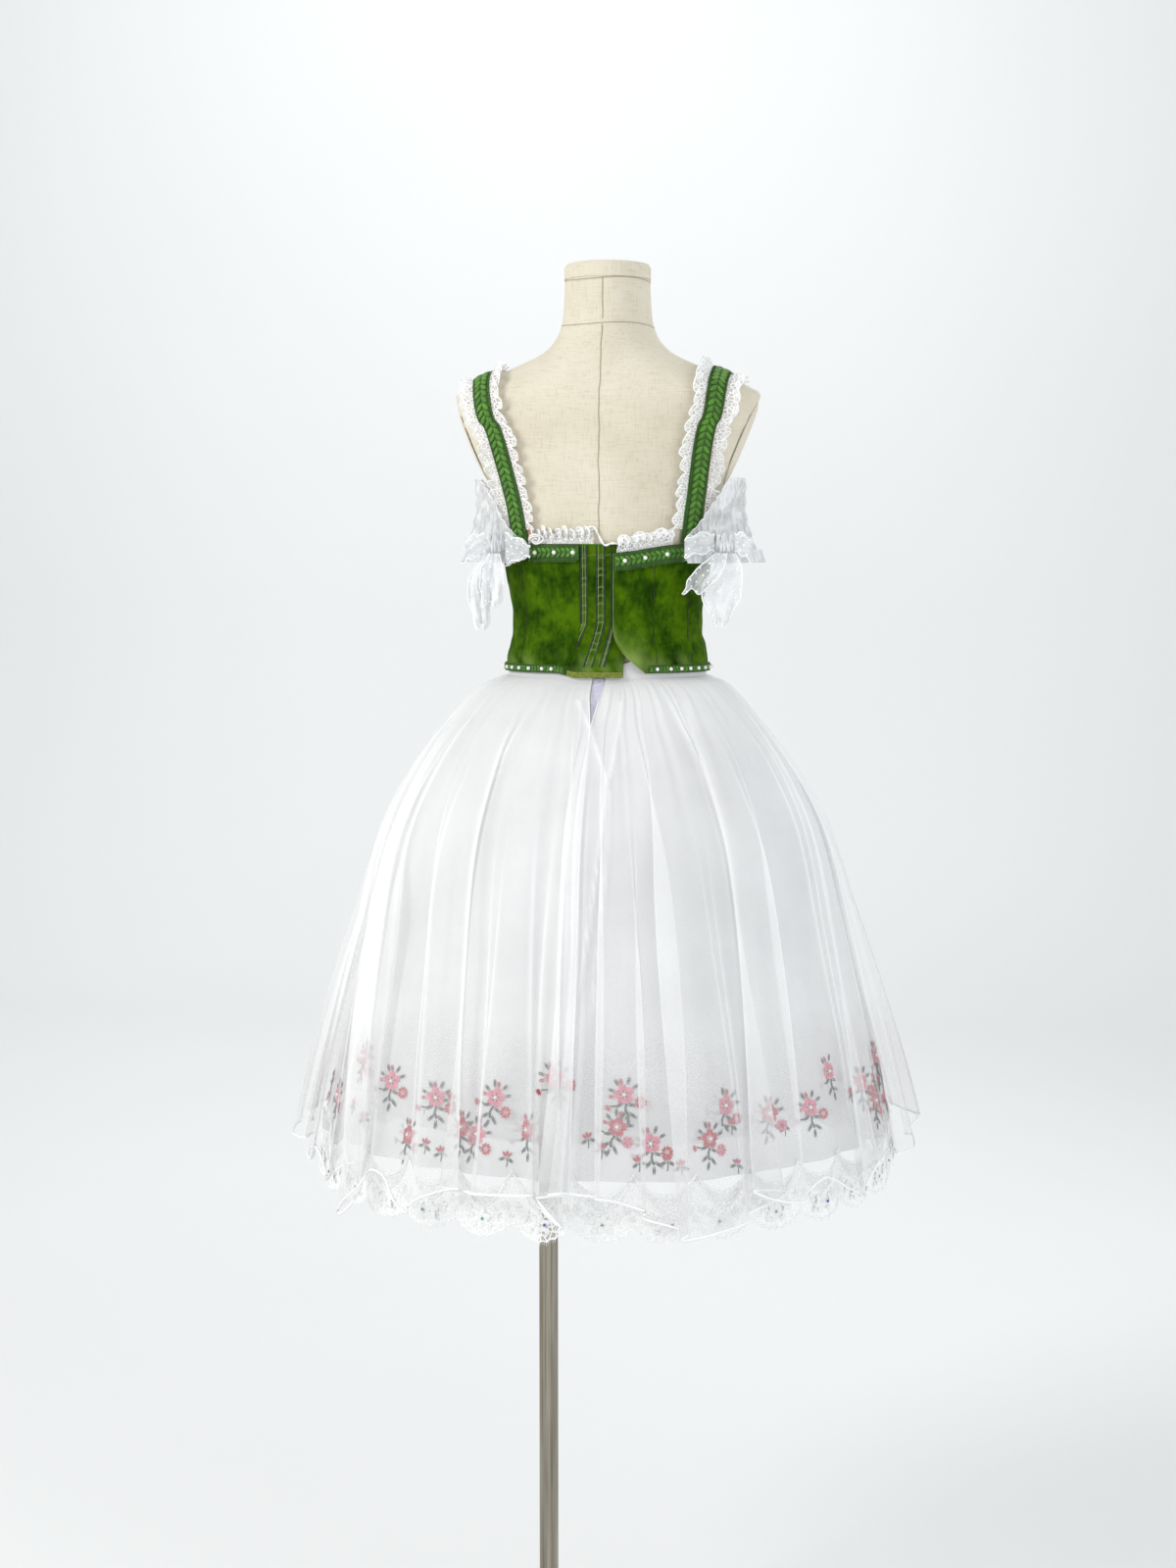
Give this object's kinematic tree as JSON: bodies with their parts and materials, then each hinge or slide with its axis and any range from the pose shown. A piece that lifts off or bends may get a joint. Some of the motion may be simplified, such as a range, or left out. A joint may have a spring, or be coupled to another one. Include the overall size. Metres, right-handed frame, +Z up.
{
  "type": "ballet dress on dress form",
  "caption": "Romantic ballet dress with a green velvet bodice, plaited straps, net bows and a sheer flower skirt, on a limbless dress form and pole stand, back view.",
  "frame": {"origin": "centre of the base's underside on the floor, on the pole's axis", "axes": "+Z up along the pole, -Y to the dress's open back, +X to the dress's right side as seen from behind"},
  "size_m": [0.7916, 0.7877, 1.835],
  "materials": {
    "linen": "matt cream woven cover",
    "velvet": "olive green pile",
    "binding": "olive woven edge binding",
    "braid": "green plaited trim",
    "nude": "flesh-toned tape",
    "lace": "white corded lace",
    "tulle": "white net",
    "organza": "white sheer cloth",
    "placket": "lilac white cloth",
    "steel": "brushed"
  },
  "bodies": {
    "root": {"arm_plate_left": "linen", "arm_plate_right": "linen", "band_top_front": "braid", "band_top_left": "braid", "band_top_right": "braid", "base": "steel", "bodice_back_left": "velvet", "bodice_back_right": "velvet", "bodice_front": "velvet", "bodice_side_left": "velvet", "bodice_side_right": "velvet", "bodice_sideback_right": "velvet", "bow_knot_left": "tulle", "bow_knot_right": "tulle", "bow_loop_inner_left": "tulle", "bow_loop_inner_right": "tulle", "bow_loop_outer_left": "tulle", "bow_loop_outer_right": "tulle", "bow_tail_inner_left": "tulle", "bow_tail_inner_right": "tulle", "bow_tail_outer_left": "tulle", "bow_tail_outer_right": "tulle", "hem_lace_left": "lace", "hem_lace_right": "lace", "lace_neck_front": "lace", "lace_neck_left": "lace", "lace_neck_right": "lace", "lace_strap_left_inner": "lace", "lace_strap_left_outer": "lace", "lace_strap_right_inner": "lace", "lace_strap_right_outer": "lace", "neck_cap": "linen", "petticoat_left": "tulle", "petticoat_right": "tulle", "pole": "steel", "pole_socket": "steel", "skirt_embroidered_left": "organza", "skirt_embroidered_right": "organza", "skirt_overlay_left": "organza", "skirt_overlay_right": "organza", "skirt_placket": "placket", "sleeve_left": "tulle", "sleeve_right": "tulle", "strap_backing_left": "nude", "strap_backing_right": "nude", "strap_left": "braid", "strap_right": "braid", "torso": "linen", "trim_waist_front": "braid", "trim_waist_left": "braid", "trim_waist_right": "braid", "underlap": "velvet", "underlap_binding": "binding"}
  },
  "joints": []
}
